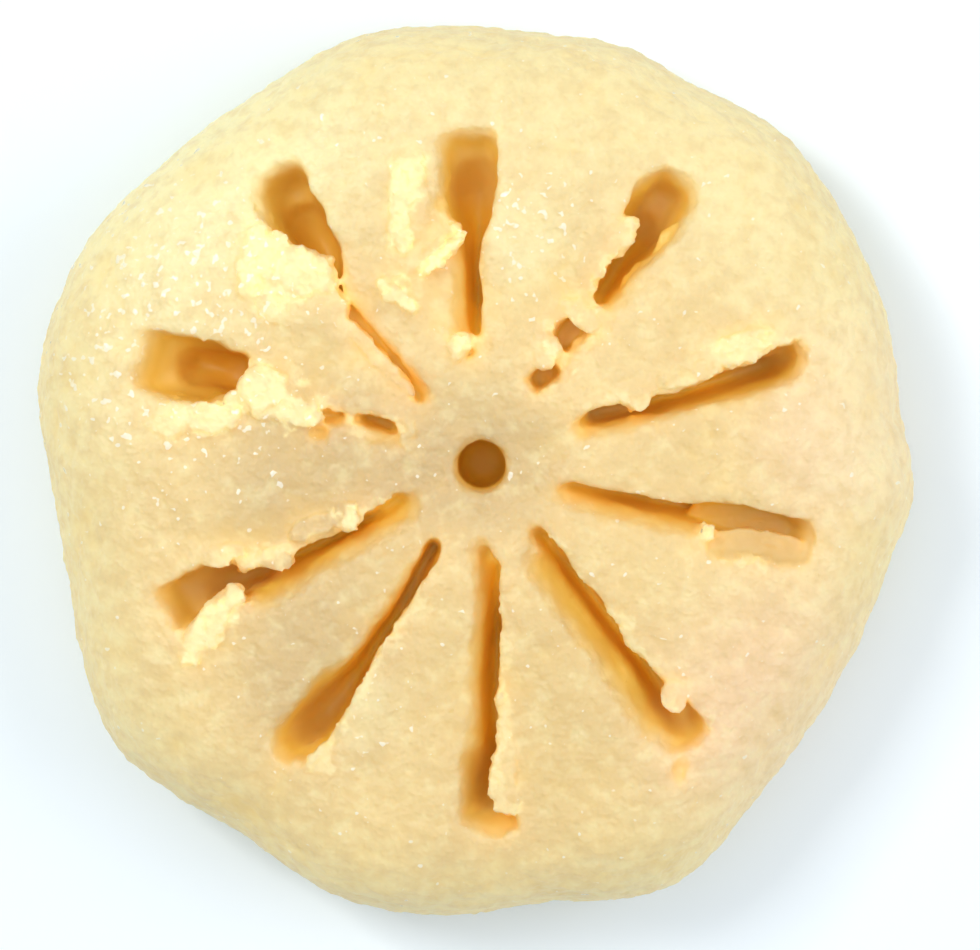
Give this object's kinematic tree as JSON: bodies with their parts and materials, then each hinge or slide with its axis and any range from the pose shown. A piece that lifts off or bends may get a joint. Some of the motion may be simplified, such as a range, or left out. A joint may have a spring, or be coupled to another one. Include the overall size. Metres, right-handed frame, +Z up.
{
  "type": "shortbread cookie",
  "caption": "Thick round pale shortbread cookie with a pin hole in the middle and torn slots pressed outwards from it.",
  "frame": {"origin": "middle of the flat base, on the surface that the cookie rests on", "axes": "+Z up through the cookie, +Y towards the slot that is at the top of the picture, +X to the picture's right"},
  "size_m": [0.0524, 0.0532, 0.0147],
  "materials": {
    "pale_shortbread": "pale buttery dough, not browned, with a fine crumb and a slightly greasy sheen"
  },
  "bodies": {
    "root": {"shortbread": "pale_shortbread"}
  },
  "joints": []
}
